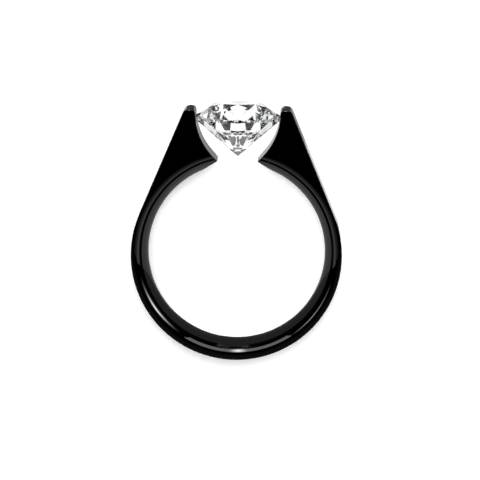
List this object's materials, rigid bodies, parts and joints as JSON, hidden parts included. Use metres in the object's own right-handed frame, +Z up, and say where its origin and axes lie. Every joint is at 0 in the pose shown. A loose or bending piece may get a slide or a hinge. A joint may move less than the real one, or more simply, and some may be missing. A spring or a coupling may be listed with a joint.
{
  "type": "solitaire engagement ring",
  "caption": "Black metal tension-set ring whose tapered shoulders grip a clear round brilliant stone by its edge.",
  "frame": {"origin": "centre of the finger hole, at the middle of the band's width", "axes": "The ring lies on its side: +Z is up, +Y runs level from the finger hole's centre towards the stone, +X across the shoulders. The finger axis leans 4.3 degrees from +Z, away from the stone, because the stone is wider than the band and rests on the surface too"},
  "size_m": [0.0202, 0.0248, 0.0083],
  "materials": {
    "black_metal": "polished black",
    "clear_stone": "polished, faceted"
  },
  "bodies": {
    "root": {"band": "black_metal", "stone": "clear_stone"}
  },
  "joints": []
}
